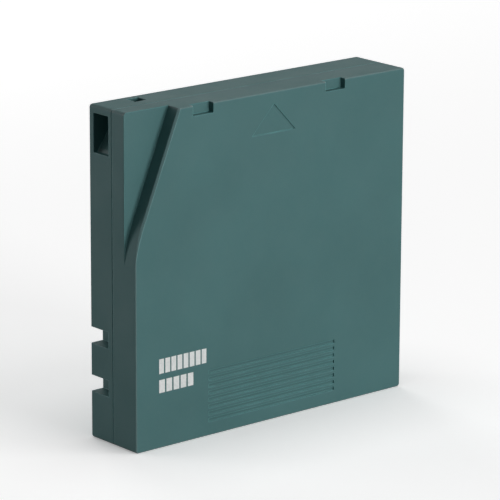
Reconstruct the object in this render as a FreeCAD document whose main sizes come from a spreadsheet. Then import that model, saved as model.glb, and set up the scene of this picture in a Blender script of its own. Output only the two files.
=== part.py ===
import FreeCAD, Part
import os
import re
from math import cos, radians, sin, tan
from FreeCAD import Placement, Rotation, Vector
import Sketcher

# Data tape cartridge that stands on its rear edge, with the end that enters the drive on top.
# X runs from the left side to the right side, where the tape door is.
# Y runs from the upper shell's face (low Y) to the lower shell's face (high Y).
# Z runs from the rear edge (0) to the front end.
# A "level" is a height above the lower shell's outer face, measured towards the upper shell.

# Driving dimensions in millimetres, each one a named cell of the sheet
SIZES = {
    # Outside of the case
    "case_width": 105.4,
    "case_depth": 102.0,
    "case_thick": 21.5,
    "seam_level": 10.75,
    "corner_round": 1.0,
    "edge_round": 0.5,
    "seam_groove": 0.25,
    # Walls
    "side_wall": 2.3,
    "end_wall": 2.0,
    "floor_wall": 2.0,
    "roof_wall": 1.9,
    "pocket_wall": 1.4,
    "cut_overrun": 1.0,
    # Insertion step in the upper shell's front left corner
    "step_width": 16.5,
    "step_angle": 22.5,
    "step_bend": 38.0,
    "step_depth": 5.1,
    "step_runout": 0.06,
    "step_overrun": 2.0,
    "lining_tuck": 1.0,
    "step_bevel": 0.6,
    "bevel_angle": 45.0,
    # Marks and arrow at the front edge of the upper face
    "mark_width": 7.7,
    "mark_length": 3.1,
    "mark_depth": 2.0,
    "mark_left": 27.2,
    "mark_right": 24.3,
    "arrow_width": 16.8,
    "arrow_length": 8.8,
    "arrow_gap": 3.8,
    "arrow_depth": 0.3,
    # Finger grip
    "grip_width": 50.0,
    "grip_start": 4.3,
    "grip_pitch": 2.15,
    "grip_count": 8,
    "grip_groove": 1.1,
    "grip_depth": 0.45,
    # Label recess in the rear edge
    "label_width": 78.0,
    "label_height": 17.0,
    "label_depth": 0.4,
    "label_shift": 4.5,
    # Latch notch in the left side
    "latch_gap": 2.3,
    "latch_length": 11.9,
    "latch_height": 7.1,
    "latch_base": 2.1,
    "latch_depth": 5.5,
    "latch_ramp": 5.9,
    "latch_lip": 1.5,
    # Handling notches, two on each side
    "grab_start": 14.5,
    "grab_length": 5.1,
    "grab_spacing": 14.9,
    "grab_height": 8.5,
    "grab_depth": 4.5,
    # Hole in the front end
    "front_hole_side": 14.1,
    "front_hole_width": 4.4,
    "front_hole_base": 2.6,
    "front_hole_height": 4.2,
    "front_hole_depth": 4.5,
    # Locating hole and slot in the lower face
    "locate_radius": 2.0,
    "locate_depth": 5.0,
    "locate_side": 11.7,
    "locate_rear": 17.5,
    "locate_slot": 2.0,
    # Case screws
    "screw_front_side": 19.2,
    "screw_front_gap": 4.8,
    "screw_rear_side": 7.2,
    "screw_rear_gap": 25.0,
    "screw_radius": 1.2,
    "screw_length": 11.5,
    "head_radius": 2.5,
    "head_height": 1.6,
    "head_sink": 0.3,
    "cross_width": 0.6,
    "cross_length": 3.0,
    "cross_depth": 0.9,
    "boss_wall": 1.7,
    "thread_gap": 0.05,
    "screw_gap": 0.25,
    "pilot_depth": 3.6,
    # Tape window and door
    "window_gap": 3.5,
    "window_length": 20.0,
    "window_base": 3.6,
    "window_height": 14.3,
    "slide_gap": 0.3,
    "door_thick": 1.2,
    "door_lap": 1.2,
    "door_travel": 21.5,
    "tab_gap": 0.5,
    "tab_length": 1.6,
    "tab_base": 5.3,
    "tab_height": 1.6,
    "tab_sink": 0.6,
    "rail_width": 1.0,
    "rail_height": 1.0,
    "rail_start": 62.0,
    # Door spring
    "spring_radius": 1.3,
    "spring_wire": 0.4,
    "spring_turns": 20,
    "spring_seat_start": 36.2,
    "spring_seat_length": 2.0,
    "peg_radius": 0.8,
    "peg_length": 3.0,
    "heel_length": 1.7,
    # Reel
    "reel_gap": 1.0,
    "reel_side_gap": 0.8,
    "seat_height": 0.7,
    "seat_width": 2.0,
    "seat_gap": 0.3,
    "flange_thick": 1.1,
    "flange_lip": 1.5,
    "head_room": 1.25,
    "tape_gap": 0.25,
    "hub_radius": 22.0,
    "hub_wall": 2.5,
    "hub_level": 1.7,
    "hub_plate": 2.2,
    "hub_boss_step": 1.0,
    "opening_gap": 1.0,
    "wound_gap": 0.05,
    # Teeth under the hub and inside it
    "tooth_count": 60,
    "tooth_base": 1.1,
    "tooth_tip": 0.2,
    "tooth_height": 1.2,
    "drive_tooth_base": 1.4,
    "drive_tooth_tip": 0.5,
    "drive_tooth_height": 1.0,
    "drive_ring_inner": 15.7,
    "drive_ring_outer": 20.6,
    # Clutch plate
    "plate_radius": 15.0,
    "plate_hole": 5.0,
    "plate_thick": 0.8,
    "plate_inset": 0.5,
    "plate_gap": 0.1,
    # Lock ring in the hub, and the brake over it
    "lock_inner": 14.0,
    "lock_outer": 16.4,
    "lock_height": 2.1,
    "tooth_gap": 0.3,
    "brake_radius": 17.2,
    "brake_thick": 1.8,
    "brake_boss": 6.2,
    "brake_boss_height": 5.2,
    "brake_lift": 2.0,
    "key_length": 8.0,
    "key_width": 1.6,
    "key_gap": 0.3,
    "key_floor": 0.5,
    "key_reach": 0.8,
    "brake_spring_radius": 8.5,
    "brake_spring_wire": 0.8,
    "brake_spring_turns": 4.5,
    "spring_end_gap": 0.06,
    "spring_ring_wall": 1.0,
    # Release pad
    "pad_radius": 6.0,
    "pad_thick": 1.3,
    "pad_button": 3.0,
    "pad_gap": 0.2,
    "leg_circle": 17.4,
    "leg_radius": 1.5,
    "leg_gap": 0.3,
    "leg_level": 1.0,
    "arm_width": 3.0,
    # Leader pin
    "pin_side": 8.9,
    "pin_front": 13.0,
    "pin_radius": 1.1,
    "knob_radius": 2.1,
    "knob_height": 1.5,
    "clamp_radius": 2.0,
    "clamp_gap": 0.05,
    "clamp_slit": 0.6,
    "leader_thick": 0.15,
    "leader_gap": 0.3,
    "pin_end_gap": 0.25,
    "nest_wall": 0.8,
    "nest_gap": 0.2,
    "nest_reach": 2.3,
    "clip_thick": 0.3,
    "clip_gap": 0.2,
    "clip_height": 1.2,
    "clip_nose": 0.7,
    # Write protect switch
    "window_side": 3.5,
    "switch_window": 11.0,
    "switch_base": 3.2,
    "switch_window_height": 5.0,
    "switch_width": 5.6,
    "switch_sink": 0.35,
    "switch_plate": 1.2,
    "switch_lap": 0.8,
    "switch_rail": 1.0,
    "switch_rail_height": 5.0,
    "thumb_groove": 0.35,
    # Memory board
    "board_leg": 8.6,
    "board_side": 3.4,
    "board_width": 11.0,
    "board_length": 10.5,
    "board_thick": 0.6,
    "board_rib": 1.0,
    "coil_width": 7.6,
    "coil_length": 8.6,
    "coil_band": 1.1,
    "coil_thick": 0.08,
    "chip_size": 3.4,
    "chip_height": 0.7,
    "chip_round": 0.3,
}

# Places worked out from the sizes, as expressions
LEFT = "(0 - case_width / 2)"
RIGHT = "(case_width / 2)"
IN_LEFT = f"({LEFT} + side_wall)"
IN_RIGHT = f"({RIGHT} - side_wall)"
IN_FRONT = "(case_depth - end_wall)"
ROOF = "(case_thick - roof_wall)"
REEL_Z = "(case_depth / 2)"
DOOR_OUT = f"({IN_RIGHT} - slide_gap)"
DOOR_IN = f"({DOOR_OUT} - door_thick)"
DOOR_FRONT = f"({IN_FRONT} - slide_gap)"
WINDOW_FRONT = "(case_depth - window_gap)"
WINDOW_REAR = f"({WINDOW_FRONT} - window_length)"
DOOR_REAR = f"({WINDOW_REAR} - door_lap)"
SPRING_X = f"({DOOR_OUT} - spring_radius - spring_wire / 2)"
SPRING_LEVEL = "(case_thick / 2)"
FLANGE_RADIUS = f"min(case_depth / 2 - end_wall - reel_gap; {DOOR_IN} - reel_side_gap)"
FLANGE_LEVEL = "(floor_wall + seat_height + seat_gap)"
WIND_LEVEL = f"({FLANGE_LEVEL} + flange_thick)"
TOP_FLANGE_LEVEL = f"({ROOF} - head_room - flange_thick)"
TAPE_LEVEL = f"({WIND_LEVEL} + tape_gap)"
TAPE_TOP = f"({TOP_FLANGE_LEVEL} - tape_gap)"
BOSS_RADIUS = "(hub_radius - hub_boss_step)"
PLATE_TOP = "(hub_level + hub_plate)"
LOCK_ROOT = f"({PLATE_TOP} + lock_height)"
BRAKE_TIPS = f"({LOCK_ROOT} + tooth_gap)"
BRAKE_LEVEL = f"({BRAKE_TIPS} + tooth_height)"
BRAKE_TOP = f"({BRAKE_LEVEL} + brake_thick)"
PAD_LEVEL = f"({PLATE_TOP} + slide_gap)"
PIN_X = f"({RIGHT} - pin_side)"
PIN_Z = "(case_depth - pin_front)"
PIN_LEVEL = "(floor_wall + pin_end_gap)"
PIN_TOP = f"({ROOF} - pin_end_gap)"
BOARD_Z = "(end_wall + board_leg / 2)"
BOARD_LEVEL = "(floor_wall + board_leg / 2)"

# Turns in degrees: the memory board across its corner, and the release pad's three legs
BOARD_TILT = 45
LEG_TURNS = [15, 135, 255]

doc = FreeCAD.newDocument("tape_cartridge")
sheet = doc.addObject("Spreadsheet::Sheet", "Sizes")
for row, (alias, value) in enumerate(SIZES.items(), start=1):
    sheet.set(f"A{row}", str(value))
    sheet.setAlias(f"A{row}", alias)
doc.recompute()


# Expressions, sketches and features

def full(text):
    """Puts the sheet's name before each alias in an expression."""
    return re.sub(r"[a-z_]+", lambda m: f"Sizes.{m.group()}" if m.group() in SIZES else m.group(), text)


def bind(thing, prop, text):
    """Ties one property of an object or sketch to the sheet."""
    thing.setExpression(prop, full(text))


def new_body(label, centre_x=None, centre_z=None):
    """Starts a sub-part; a centre puts its own Y axis there."""
    body = doc.addObject("PartDesign::Body", label)
    body.Label = label
    if centre_x:
        bind(body, ".Placement.Base.x", centre_x)
    if centre_z:
        bind(body, ".Placement.Base.z", centre_z)
    return body


def origin_part(body, role):
    """Finds a plane or axis of a body's own origin."""
    return [feature for feature in body.Origin.OriginFeatures if feature.Role == role][0]


def sketch_at(body, name, offset, plane="XZ_Plane"):
    """Makes a sketch on a plane of the body's origin, moved along that plane's normal."""
    sketch = body.newObject("Sketcher::SketchObject", name)
    sketch.AttachmentSupport = [(origin_part(body, plane), "")]
    sketch.MapMode = "FlatFace"
    bind(sketch, ".AttachmentOffset.Base.z", offset)
    return sketch


def level_offset(level):
    """Turns a level into an offset from the mid plane, towards the upper shell."""
    return f"{level} - case_thick / 2"


def hold(sketch, geometry, point, x=None, y=None):
    """Places one point of a sketch from the sketch's own origin."""
    place = sketch.getPoint(geometry, point)
    for kind, text, value in (("DistanceX", x, place.x), ("DistanceY", y, place.y)):
        if text is not None:
            number = sketch.addConstraint(Sketcher.Constraint(kind, -1, 1, geometry, point, value))
            bind(sketch, f"Constraints[{number}]", text)


def polygon(*points):
    """Draws a closed outline through points given as expressions."""
    def draw(sketch):
        count = len(points)
        starts = [Vector(cos(radians(360 * i / count)), sin(radians(360 * i / count)), 0) for i in range(count)]
        first = sketch.GeometryCount
        for i in range(count):
            sketch.addGeometry(Part.LineSegment(starts[i], starts[(i + 1) % count]))
        for i in range(count):
            following = first + (i + 1) % count
            sketch.addConstraint(Sketcher.Constraint("Coincident", first + i, 2, following, 1))
        for i, (x, y) in enumerate(points):
            hold(sketch, first + i, 1, x, y)
    return draw


def rect(x0, x1, y0, y1):
    """Draws a rectangle from its four sides."""
    def draw(sketch):
        first = sketch.GeometryCount
        corners = [Vector(0, 0, 0), Vector(1, 0, 0), Vector(1, 1, 0), Vector(0, 1, 0)]
        for i in range(4):
            sketch.addGeometry(Part.LineSegment(corners[i], corners[(i + 1) % 4]))
        for i in range(4):
            sketch.addConstraint(Sketcher.Constraint("Coincident", first + i, 2, first + (i + 1) % 4, 1))
            direction = "Horizontal" if i % 2 == 0 else "Vertical"
            sketch.addConstraint(Sketcher.Constraint(direction, first + i))
        hold(sketch, first, 1, x0, y0)
        hold(sketch, first + 2, 1, x1, y1)
    return draw


def turned_rect(reach, half_width, turn):
    """Draws a rectangle that reaches from one distance to another, turned about the sketch's origin."""
    x0, x1 = reach
    c, s = f"cos({turn} deg)", f"sin({turn} deg)"
    corners = [(x0, f"(0 - {half_width})"), (x1, f"(0 - {half_width})"), (x1, half_width), (x0, half_width)]
    return polygon(*[(f"{x} * {c} - {y} * {s}", f"{x} * {s} + {y} * {c}") for x, y in corners])


def circle(x, y, radius):
    """Draws a circle."""
    def draw(sketch):
        shape = Part.Circle(Vector(0.5, 0.5, 0), Vector(0, 0, 1), 2.0)
        number = sketch.addGeometry(shape)
        hold(sketch, number, 3, x, y)
        limit = sketch.addConstraint(Sketcher.Constraint("Radius", number, 2.0))
        bind(sketch, f"Constraints[{limit}]", radius)
    return draw


def slot_along_x(x0, x1, y, radius, near_x, near_y):
    """Draws a slot with round ends from the centres of its ends, starting near a known place."""
    def draw(sketch):
        first = sketch.GeometryCount
        up = Vector(0, 0, 1)
        quarter = radians(90)
        west, east = Vector(near_x - 1, near_y, 0), Vector(near_x + 1, near_y, 0)
        side = Vector(0, 1, 0)
        sketch.addGeometry(Part.ArcOfCircle(Part.Circle(west, up, 1.0), quarter, 3 * quarter))
        sketch.addGeometry(Part.LineSegment(west - side, east - side))
        sketch.addGeometry(Part.ArcOfCircle(Part.Circle(east, up, 1.0), -quarter, quarter))
        sketch.addGeometry(Part.LineSegment(east + side, west + side))
        for i in range(4):
            sketch.addConstraint(Sketcher.Constraint("Tangent", first + i, 2, first + (i + 1) % 4, 1))
        sketch.addConstraint(Sketcher.Constraint("Equal", first, first + 2))
        hold(sketch, first, 3, x0, y)
        hold(sketch, first + 2, 3, x1, y)
        limit = sketch.addConstraint(Sketcher.Constraint("Radius", first, 1.0))
        bind(sketch, f"Constraints[{limit}]", radius)
    return draw


def finish(body, feature):
    """Makes a feature the body's last one, and leaves its faces unmerged, which keeps the build quick."""
    feature.Refine = False
    body.Tip = feature
    return feature


def pad(body, name, low, high, *shapes):
    """Adds material between two levels."""
    sketch = sketch_at(body, f"{name}_outline", level_offset(low))
    for draw in shapes:
        draw(sketch)
    feature = body.newObject("PartDesign::Pad", name)
    feature.Profile = sketch
    bind(feature, "Length", f"{high} - ({low})")
    return finish(body, feature)


def pocket(body, name, low, high, *shapes):
    """Takes material away between two levels."""
    sketch = sketch_at(body, f"{name}_outline", level_offset(low))
    for draw in shapes:
        draw(sketch)
    feature = body.newObject("PartDesign::Pocket", name)
    feature.Profile = sketch
    feature.Reversed = True
    bind(feature, "Length", f"{high} - ({low})")
    return finish(body, feature)


def across(body, kind, name, low, high, *shapes):
    """Adds or cuts along X, between two places; a sketch on this plane has Y and Z as its axes."""
    sketch = sketch_at(body, f"{name}_outline", low, "YZ_Plane")
    for draw in shapes:
        draw(sketch)
    feature = body.newObject(f"PartDesign::{kind}", name)
    feature.Profile = sketch
    feature.Reversed = kind == "Pocket"
    bind(feature, "Length", f"{high} - ({low})")
    return finish(body, feature)


def lengthwise(body, kind, name, low, high, *shapes):
    """Adds or cuts along Z, between two places; a sketch on this plane has X and Y as its axes."""
    sketch = sketch_at(body, f"{name}_outline", low, "XY_Plane")
    for draw in shapes:
        draw(sketch)
    feature = body.newObject(f"PartDesign::{kind}", name)
    feature.Profile = sketch
    feature.Reversed = kind == "Pocket"
    bind(feature, "Length", f"{high} - ({low})")
    return finish(body, feature)


def pattern_round(body, name, feature, count):
    """Repeats a feature in equal steps round the body's Y axis."""
    pattern = body.newObject("PartDesign::PolarPattern", name)
    pattern.Originals = [feature]
    pattern.Axis = (origin_part(body, "Y_Axis"), [""])
    pattern.Angle = 360
    bind(pattern, "Occurrences", count)
    return finish(body, pattern)


def pattern_along_z(body, name, feature, pitch, count):
    """Repeats a feature towards the front end."""
    pattern = body.newObject("PartDesign::LinearPattern", name)
    pattern.Originals = [feature]
    pattern.Direction = (origin_part(body, "Z_Axis"), [""])
    bind(pattern, "Length", f"{pitch} * ({count} - 1)")
    bind(pattern, "Occurrences", count)
    return finish(body, pattern)


def soften(body, kind, name, prop, size, test):
    """Rounds or bevels the edges of the body's tip that pass a test."""
    doc.recompute()
    base = body.Tip
    edges = [f"Edge{i}" for i, edge in enumerate(base.Shape.Edges, start=1) if test(edge)]
    feature = body.newObject(f"PartDesign::{kind}", name)
    feature.Base = (base, edges)
    bind(feature, prop, size)
    return finish(body, feature)


def y_of(level):
    """The Y of a level, as an expression."""
    return f"(case_thick / 2 - {level})"


# Outline shared by the insertion step and the wall under it

def step_outline(inset, margin, runout="step_runout"):
    """Draws the step's area: a slanting wall, a bend that runs out at the left side, and the outside."""
    def draw(sketch):
        angle = radians(SIZES["step_angle"])
        half_width = SIZES["case_width"] / 2
        top = SIZES["case_depth"] + 2
        start = -half_width + SIZES["step_width"] + 2 * tan(angle)
        low_x = -half_width - SIZES["step_runout"]
        bend = SIZES["step_bend"]
        bend_x = low_x + bend * (1 - cos(angle))
        bend_z = top - (start - bend_x) / tan(angle)
        centre = Vector(low_x + bend, bend_z - bend * sin(angle), 0)
        first = sketch.GeometryCount
        sketch.addGeometry(Part.LineSegment(Vector(start, top, 0), Vector(bend_x, bend_z, 0)))
        round_wall = Part.Circle(centre, Vector(0, 0, 1), bend)
        sketch.addGeometry(Part.ArcOfCircle(round_wall, radians(180) - angle, radians(180)))
        sketch.addGeometry(Part.LineSegment(Vector(low_x, centre.y, 0), Vector(low_x - 2, centre.y, 0)))
        sketch.addGeometry(Part.LineSegment(Vector(low_x - 2, centre.y, 0), Vector(low_x - 2, top, 0)))
        sketch.addGeometry(Part.LineSegment(Vector(low_x - 2, top, 0), Vector(start, top, 0)))
        sketch.addConstraint(Sketcher.Constraint("Tangent", first, 2, first + 1, 1))
        sketch.addConstraint(Sketcher.Constraint("Coincident", first + 1, 2, first + 2, 1))
        for i in (2, 3, 4):
            following = first + (i + 1) % 5
            sketch.addConstraint(Sketcher.Constraint("Coincident", first + i, 2, following, 1))
        sketch.addConstraint(Sketcher.Constraint("Horizontal", first + 2))
        sketch.addConstraint(Sketcher.Constraint("Vertical", first + 3))
        sketch.addConstraint(Sketcher.Constraint("Horizontal", first + 4))
        sketch.addConstraint(Sketcher.Constraint("Horizontal", first + 1, 3, first + 1, 2))
        limit = sketch.addConstraint(Sketcher.Constraint("Radius", first + 1, bend))
        bind(sketch, f"Constraints[{limit}]", f"step_bend - {inset}")
        slant = sketch.addConstraint(Sketcher.Constraint("Angle", first, 2, first + 3, 1, angle))
        bind(sketch, f"Constraints[{slant}]", "step_angle")
        hold(sketch, first, 1, f"{LEFT} + step_width + {margin} * tan(step_angle) + {inset} / cos(step_angle)",
             f"case_depth + {margin}")
        hold(sketch, first + 1, 2, f"{LEFT} - {runout} + {inset}")
        hold(sketch, first + 3, 1, f"{LEFT} - {margin}")
    return draw


# Places of things that repeat

SCREWS = [
    (f"({LEFT} + screw_front_side)", "(case_depth - screw_front_gap)"),
    (f"({RIGHT} - screw_front_side)", "(case_depth - screw_front_gap)"),
    (f"({LEFT} + screw_rear_side)", "screw_rear_gap"),
    (f"({RIGHT} - screw_rear_side)", "screw_rear_gap"),
]
GRABS = ["grab_start", "(grab_start + grab_spacing)"]


def case_block(body, low, high, outer_side):
    """Makes one half of the case, with its rounded corners and rim, hollowed from the seam."""
    pad(body, "block", low, high, rect(LEFT, RIGHT, "0", "case_depth"))
    soften(body, "Fillet", "corners", "Radius", "corner_round",
           lambda edge: edge.BoundBox.XLength < 0.1 and edge.BoundBox.ZLength < 0.1)
    face = outer_side * SIZES["case_thick"] / 2
    soften(body, "Fillet", "rim", "Radius", "edge_round",
           lambda edge: abs(edge.BoundBox.YMin - face) < 0.01 and abs(edge.BoundBox.YMax - face) < 0.01)


def cut_seam_groove(body, low, high):
    """Cuts the fine line that shows where the two shells meet."""
    pocket(body, "seam_line", low, high,
           rect(f"{LEFT} - cut_overrun", f"{RIGHT} + cut_overrun", "0 - cut_overrun", "case_depth + cut_overrun"),
           rect(f"{LEFT} + seam_groove", f"{RIGHT} - seam_groove", "seam_groove", "case_depth - seam_groove"))


def cut_grip(body, low, high):
    """Cuts the finger grip's grooves, side by side from the rear edge."""
    groove = pocket(body, "grip_groove", low, high,
                    rect("0 - grip_width / 2", "grip_width / 2", "grip_start", "grip_start + grip_groove"))
    pattern_along_z(body, "grip", groove, "grip_pitch", "grip_count")


def cut_label(body):
    """Cuts the shallow recess for a label in the rear edge, across both shells."""
    lengthwise(body, "Pocket", "label_recess", "0 - cut_overrun", "label_depth",
               rect("label_shift - label_width / 2", "label_shift + label_width / 2",
                    "0 - label_height / 2", "label_height / 2"))


def cut_window(body):
    """Cuts the tape window in the right side, across both shells."""
    across(body, "Pocket", "tape_window", DOOR_OUT, f"({RIGHT} + cut_overrun)",
           rect(y_of("(window_base + window_height)"), y_of("window_base"), WINDOW_REAR, WINDOW_FRONT))


def pin_nest(body, low, high):
    """Adds the open-sided nest that holds one end of the leader pin."""
    reach = "(knob_radius + nest_gap)"
    pad(body, "nest", low, high,
        rect(f"{PIN_X} - {reach} - nest_wall", f"{PIN_X} + nest_reach",
             f"{PIN_Z} - {reach} - nest_wall", f"{PIN_Z} + {reach} + nest_wall"))
    pocket(body, "nest_seat", low, high, circle(PIN_X, PIN_Z, reach))
    pocket(body, "nest_mouth", low, high,
           rect(PIN_X, f"{PIN_X} + nest_reach + cut_overrun", f"{PIN_Z} - {reach}", f"{PIN_Z} + {reach}"))


def lower_shell():
    """The half with the reel opening, the latch and handling notches, and everything that locates."""
    body = new_body("lower_shell")
    case_block(body, "0", "seam_level", 1)
    pocket(body, "cavity", "floor_wall", "seam_level", rect(IN_LEFT, IN_RIGHT, "end_wall", IN_FRONT))
    cut_seam_groove(body, "(seam_level - seam_groove)", "seam_level")
    add_lower_blocks(body)
    add_lower_guides(body)
    cut_lower_notches(body)
    cut_lower_holes(body)
    cut_window(body)
    cut_label(body)
    cut_grip(body, "0", "grip_depth")
    return body


def locating_slot(radius):
    """Draws the locating slot near the right side, which lets the drive's second pin float."""
    middle = f"{RIGHT} - locate_side"
    near_x = SIZES["case_width"] / 2 - SIZES["locate_side"]
    return slot_along_x(f"{middle} - locate_slot / 2", f"{middle} + locate_slot / 2", "locate_rear", radius,
                        near_x, SIZES["locate_rear"])


def add_lower_blocks(body):
    """Adds the solid walls behind each notch and hole, and the screw bosses."""
    opening = f"({BOSS_RADIUS} + opening_gap)"
    pocket(body, "reel_opening", "0", "floor_wall", circle("0", REEL_Z, opening))
    pad(body, "reel_seat", "floor_wall", "(floor_wall + seat_height)",
        circle("0", REEL_Z, opening), circle("0", REEL_Z, f"{opening} + seat_width"))
    boss = "screw_radius + screw_gap + boss_wall"
    pad(body, "screw_bosses", "floor_wall", "seam_level", *[circle(x, z, boss) for x, z in SCREWS])
    latch_rear = "(case_depth - latch_gap - latch_length)"
    pad(body, "latch_block", "floor_wall", "seam_level",
        rect(IN_LEFT, f"{LEFT} + latch_depth + pocket_wall", latch_rear, IN_FRONT))
    for i, start in enumerate(GRABS):
        low, high = f"{start} - pocket_wall", f"{start} + grab_length + pocket_wall"
        pad(body, f"grab_block_{i}", "floor_wall", "seam_level",
            rect(IN_LEFT, f"{LEFT} + grab_depth + pocket_wall", low, high),
            rect(f"{RIGHT} - grab_depth - pocket_wall", IN_RIGHT, low, high))
    middle = f"{LEFT} + front_hole_side"
    pad(body, "front_hole_block", "floor_wall", "seam_level",
        rect(f"{middle} - front_hole_width / 2 - pocket_wall", f"{middle} + front_hole_width / 2 + pocket_wall",
             "case_depth - front_hole_depth - pocket_wall", IN_FRONT))
    outer = "locate_radius + pocket_wall"
    pad(body, "locating_bosses", "floor_wall", "(locate_depth + pocket_wall)",
        circle(f"{LEFT} + locate_side", "locate_rear", outer),
        locating_slot(outer))


def add_lower_guides(body):
    """Adds what guides or holds the door, its spring, the switch, the memory board and the leader pin."""
    rail_out = f"{DOOR_IN} - slide_gap"
    pad(body, "door_rail", "floor_wall", "(floor_wall + rail_height)",
        rect(f"{rail_out} - rail_width", rail_out, "rail_start", IN_FRONT))
    seat_end = "(spring_seat_start + spring_seat_length)"
    pad(body, "spring_seat", "floor_wall", f"({SPRING_LEVEL} + spring_radius + spring_wire)",
        rect(f"{SPRING_X} - spring_radius", IN_RIGHT, "spring_seat_start", seat_end))
    lengthwise(body, "Pad", "spring_peg", seat_end, f"({seat_end} + peg_length)",
               circle(SPRING_X, y_of(SPRING_LEVEL), "peg_radius"))
    rail = "(end_wall + slide_gap + switch_plate + slide_gap)"
    pad(body, "switch_rail", "floor_wall", "(floor_wall + switch_rail_height)",
        rect(IN_LEFT, f"{LEFT} + window_side + switch_window + switch_lap", rail, f"{rail} + switch_rail"))
    for i, start in enumerate([f"({RIGHT} - board_side - board_width)", f"({RIGHT} - board_side - board_rib)"]):
        across(body, "Pad", f"board_rib_{i}", start, f"({start} + board_rib)",
               polygon((y_of("floor_wall"), "end_wall"), (y_of("floor_wall"), "end_wall + board_leg"),
                       (y_of("(floor_wall + board_leg)"), "end_wall")))
    pin_nest(body, "floor_wall", f"({PIN_LEVEL} + knob_height)")


def cut_lower_notches(body):
    """Cuts the latch notch, the handling notches, the front hole and the switch window."""
    front = "case_depth - latch_gap"
    rear = f"{front} - latch_length"
    outside = f"{LEFT} - cut_overrun"
    inner = f"{LEFT} + latch_depth"
    pocket(body, "latch_notch", "latch_base", "(latch_base + latch_height)",
           polygon((outside, rear), (f"{LEFT} + latch_lip", rear), (inner, f"{rear} + latch_ramp"),
                   (inner, front), (outside, front)))
    for i, start in enumerate(GRABS):
        end = f"{start} + grab_length"
        pocket(body, f"grab_notches_{i}", "(0 - cut_overrun)", "grab_height",
               rect(outside, f"{LEFT} + grab_depth", start, end),
               rect(f"{RIGHT} - grab_depth", f"{RIGHT} + cut_overrun", start, end))
    middle = f"{LEFT} + front_hole_side"
    lengthwise(body, "Pocket", "front_hole", "(case_depth - front_hole_depth)", "(case_depth + cut_overrun)",
               rect(f"{middle} - front_hole_width / 2", f"{middle} + front_hole_width / 2",
                    y_of("(front_hole_base + front_hole_height)"), y_of("front_hole_base")))
    lengthwise(body, "Pocket", "switch_window_cut", "(0 - cut_overrun)", "end_wall",
               rect(f"{LEFT} + window_side", f"{LEFT} + window_side + switch_window",
                    y_of("(switch_base + switch_window_height)"), y_of("switch_base")))
    tab_rear = f"{WINDOW_FRONT} - tab_gap - tab_length"
    pocket(body, "tab_slot", "(tab_base - slide_gap)", "(tab_base + tab_height + slide_gap)",
           rect(DOOR_OUT, f"{RIGHT} + cut_overrun", f"{tab_rear} - door_travel - slide_gap", WINDOW_FRONT))


def cut_lower_holes(body):
    """Cuts the screw holes, their counterbores and the two locating holes."""
    pocket(body, "screw_holes", "0", "seam_level", *[circle(x, z, "screw_radius + screw_gap") for x, z in SCREWS])
    pocket(body, "counterbores", "0", "(head_sink + head_height)",
           *[circle(x, z, "head_radius + screw_gap") for x, z in SCREWS])
    pocket(body, "locating_holes", "0", "locate_depth",
           circle(f"{LEFT} + locate_side", "locate_rear", "locate_radius"),
           locating_slot("locate_radius"))


def upper_shell():
    """The half with the insertion step, the arrow and the edge marks."""
    body = new_body("upper_shell")
    case_block(body, "seam_level", "case_thick", -1)
    pocket(body, "cavity", "seam_level", ROOF, rect(IN_LEFT, IN_RIGHT, "end_wall", IN_FRONT))
    floor = "(case_thick - step_depth)"
    pad(body, "step_lining", f"({floor} - roof_wall)", ROOF, step_outline("roof_wall", "(0 - lining_tuck)"))
    pocket(body, "step", floor, "(case_thick + cut_overrun)", step_outline("0", "step_overrun"))
    bevel = pocket(body, "step_bevel", "(case_thick - step_bevel)", "(case_thick + cut_overrun)",
                   step_outline("0", "step_overrun", "(step_runout + step_bevel)"))
    bind(bevel, "TaperAngle", "bevel_angle")
    add_upper_guides(body)
    cut_window(body)
    cut_label(body)
    cut_grip(body, "(case_thick - grip_depth)", "case_thick")
    mark_floor = "(case_thick - mark_depth)"
    for name, middle in (("left", "(0 - mark_left)"), ("right", "mark_right")):
        pad(body, f"mark_{name}_lining", f"({mark_floor} - pocket_wall)", ROOF,
            rect(f"{middle} - mark_width / 2 - pocket_wall", f"{middle} + mark_width / 2 + pocket_wall",
                 "case_depth - mark_length - pocket_wall", IN_FRONT))
        pocket(body, f"mark_{name}", mark_floor, "(case_thick + cut_overrun)",
               rect(f"{middle} - mark_width / 2", f"{middle} + mark_width / 2",
                    "case_depth - mark_length", "case_depth + cut_overrun"))
    apex = "case_depth - arrow_gap"
    pocket(body, "arrow", "(case_thick - arrow_depth)", "(case_thick + cut_overrun)",
           polygon(("0 - arrow_width / 2", f"{apex} - arrow_length"), ("arrow_width / 2", f"{apex} - arrow_length"),
                   ("0", apex)))
    return body


def add_upper_guides(body):
    """Adds the screw bosses, the brake's key and spring ring, the door rail and the pin's upper nest."""
    pad(body, "screw_bosses", "seam_level", ROOF,
        *[circle(x, z, "screw_radius + thread_gap + boss_wall") for x, z in SCREWS])
    pocket(body, "pilot_holes", "seam_level", "(seam_level + pilot_depth)",
           *[circle(x, z, "screw_radius + thread_gap") for x, z in SCREWS])
    ring = "(brake_spring_radius + brake_spring_wire / 2 + spring_end_gap + slide_gap)"
    pad(body, "spring_ring", f"({ROOF} - spring_ring_wall)", ROOF,
        circle("0", REEL_Z, ring), circle("0", REEL_Z, f"{ring} + spring_ring_wall"))
    key_tip = f"({BRAKE_TOP} + key_floor + brake_lift + key_reach)"
    pad(body, "key_across", key_tip, ROOF,
        rect("0 - key_length / 2", "key_length / 2", f"{REEL_Z} - key_width / 2", f"{REEL_Z} + key_width / 2"))
    pad(body, "key_along", key_tip, ROOF,
        rect("0 - key_width / 2", "key_width / 2", f"{REEL_Z} - key_length / 2", f"{REEL_Z} + key_length / 2"))
    rail_out = f"{DOOR_IN} - slide_gap"
    pad(body, "door_rail", f"({ROOF} - rail_height)", ROOF,
        rect(f"{rail_out} - rail_width", rail_out, "rail_start", IN_FRONT))
    pin_nest(body, f"({PIN_TOP} - knob_height)", ROOF)


# Door and switch

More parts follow.
